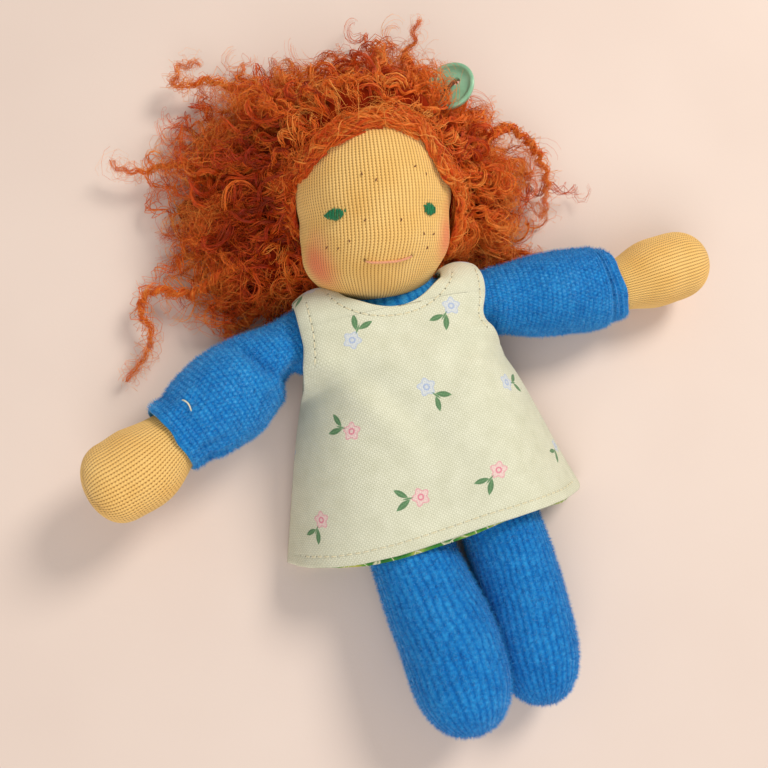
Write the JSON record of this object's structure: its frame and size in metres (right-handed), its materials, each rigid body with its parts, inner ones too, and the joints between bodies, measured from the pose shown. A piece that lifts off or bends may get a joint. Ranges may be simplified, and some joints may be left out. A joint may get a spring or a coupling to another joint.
{
  "type": "waldorf doll",
  "caption": "Small stuffed cloth doll lying on its back: knit face and hands, blue velour body and limbs, curly red mohair with a button in it, printed cream pinafore dress.",
  "frame": {"origin": "on the flat back of the dress, on the body's centre line, where the doll rests", "axes": "+Y from the legs to the head, +Z out of the chest, the way the face looks, +X towards the doll's own left hand"},
  "size_m": [0.146, 0.1584, 0.0405],
  "materials": {
    "skin": "fine cotton jersey knit",
    "wool": "carded wool",
    "thread": "matte sewing thread",
    "velour": "napped cotton velour",
    "hair": "curly mohair yarn",
    "dress": "plain woven cotton with a small print",
    "lining": "printed woven cotton",
    "eyes": "embroidery thread",
    "mouth": "embroidery thread",
    "button": "satin",
    "dress_button": "gloss"
  },
  "bodies": {
    "torso": {"torso_velour": "velour", "torso_stuffing": "wool", "dress_front": "dress", "dress_front_lining": "lining", "dress_back": "dress", "dress_back_lining": "lining", "hem_topstitch": "thread", "neck_topstitch": "thread", "armhole_topstitch_left": "thread", "armhole_topstitch_right": "thread", "dress_button": "dress_button", "dress_button_loop": "thread"},
    "neck": {"neck_core": "wool", "neck_tie_thread": "thread"},
    "head": {"head_skin": "skin", "head_core": "wool", "eye_line_thread": "thread", "eye_left": "eyes", "eye_right": "eyes", "mouth_thread": "mouth", "wig_cap": "hair", "hair_button_thread": "thread", "curl_neck_right": "hair", "hair_crown": "hair", "hair_scalp": "hair", "hair_side_left": "hair", "hair_side_right": "hair", "lock_crown_right": "hair", "lock_crown_tuft": "hair", "lock_neck_left": "hair", "lock_ring_left": "hair", "lock_shoulder_right": "hair", "lock_temple_right": "hair"},
    "hair_button": {"hair_button": "button"},
    "shoulder_seam_right": {"shoulder_thread_right": "thread"},
    "arm_right": {"sleeve_right": "velour", "arm_stuffing_right": "wool", "hand_skin_right": "skin", "hand_stuffing_right": "wool", "wrist_tie_right": "thread", "cuff_stitch_right": "thread"},
    "shoulder_seam_left": {"shoulder_thread_left": "thread"},
    "arm_left": {"sleeve_left": "velour", "arm_stuffing_left": "wool", "hand_skin_left": "skin", "hand_stuffing_left": "wool", "wrist_tie_left": "thread"},
    "leg_right": {"leg_velour_right": "velour", "leg_stuffing_right": "wool", "hip_thread_right": "thread"},
    "leg_left": {"leg_velour_left": "velour", "leg_stuffing_left": "wool", "hip_thread_left": "thread"}
  },
  "joints": [
    {"name": "neck_nod", "type": "hinge", "parent": "torso", "child": "neck", "pos_m": [-0.0019, 0.0184, 0.01487], "axis": [0.9925, -0.1219, 0], "range_deg": [-8, 10], "deforming": ["curl_neck_right", "hair_crown", "hair_scalp", "hair_side_left", "hair_side_right", "lock_crown_right", "lock_crown_tuft", "lock_neck_left", "lock_ring_left", "lock_shoulder_right", "lock_temple_right", "dress_front", "dress_front_lining", "neck_topstitch"]},
    {"name": "neck_turn", "type": "hinge", "parent": "neck", "child": "head", "pos_m": [-0.0019, 0.0184, 0.01487], "axis": [0.1159, 0.944, 0.309], "range_deg": [-28, 28], "deforming": ["curl_neck_right", "hair_crown", "hair_scalp", "hair_side_left", "hair_side_right", "lock_crown_right", "lock_crown_tuft", "lock_neck_left", "lock_ring_left", "lock_shoulder_right", "lock_temple_right", "dress_front", "dress_front_lining", "neck_topstitch"]},
    {"name": "shoulder_swing_right", "type": "hinge", "parent": "torso", "child": "shoulder_seam_right", "pos_m": [-0.0186, 0.0184, 0.0126], "axis": [0, 0, 1], "range_deg": [-35, 10], "deforming": ["dress_front", "dress_front_lining", "hair_side_right", "lock_shoulder_right", "lock_temple_right", "curl_neck_right", "armhole_topstitch_right"]},
    {"name": "shoulder_raise_right", "type": "hinge", "parent": "shoulder_seam_right", "child": "arm_right", "pos_m": [-0.0186, 0.0184, 0.0126], "axis": [-0.4147, 0.91, 0], "range_deg": [-6, 35], "deforming": ["dress_front", "dress_front_lining", "hair_side_right", "lock_shoulder_right", "lock_temple_right", "curl_neck_right", "armhole_topstitch_right"]},
    {"name": "shoulder_swing_left", "type": "hinge", "parent": "torso", "child": "shoulder_seam_left", "pos_m": [0.0194, 0.0188, 0.012], "axis": [0, 0, 1], "range_deg": [-28, 11], "deforming": ["dress_front", "dress_front_lining", "hair_side_left", "lock_ring_left", "lock_neck_left", "armhole_topstitch_left"]},
    {"name": "shoulder_raise_left", "type": "hinge", "parent": "shoulder_seam_left", "child": "arm_left", "pos_m": [0.0194, 0.0188, 0.012], "axis": [-0.0733, -0.9973, 0], "range_deg": [-4, 35], "deforming": ["dress_front", "dress_front_lining", "hair_side_left", "lock_ring_left", "lock_neck_left", "armhole_topstitch_left"]},
    {"name": "hip_right", "type": "hinge", "parent": "torso", "child": "leg_right", "pos_m": [-0.0099, -0.014, 0.0108], "axis": [-1, 0, 0], "range_deg": [0, 80], "deforming": ["dress_front", "dress_front_lining", "hem_topstitch"]},
    {"name": "hip_left", "type": "hinge", "parent": "torso", "child": "leg_left", "pos_m": [0.0105, -0.014, 0.0108], "axis": [-1, 0, 0], "range_deg": [0, 80], "deforming": ["dress_front", "dress_front_lining", "hem_topstitch"]},
    {"name": "button_tilt", "type": "hinge", "parent": "head", "child": "hair_button", "pos_m": [0.023, 0.0624, 0.029], "axis": [0.9752, 0, 0.2212], "range_deg": [-15, 15], "deforming": ["hair_scalp", "hair_crown", "hair_side_left"]}
  ]
}
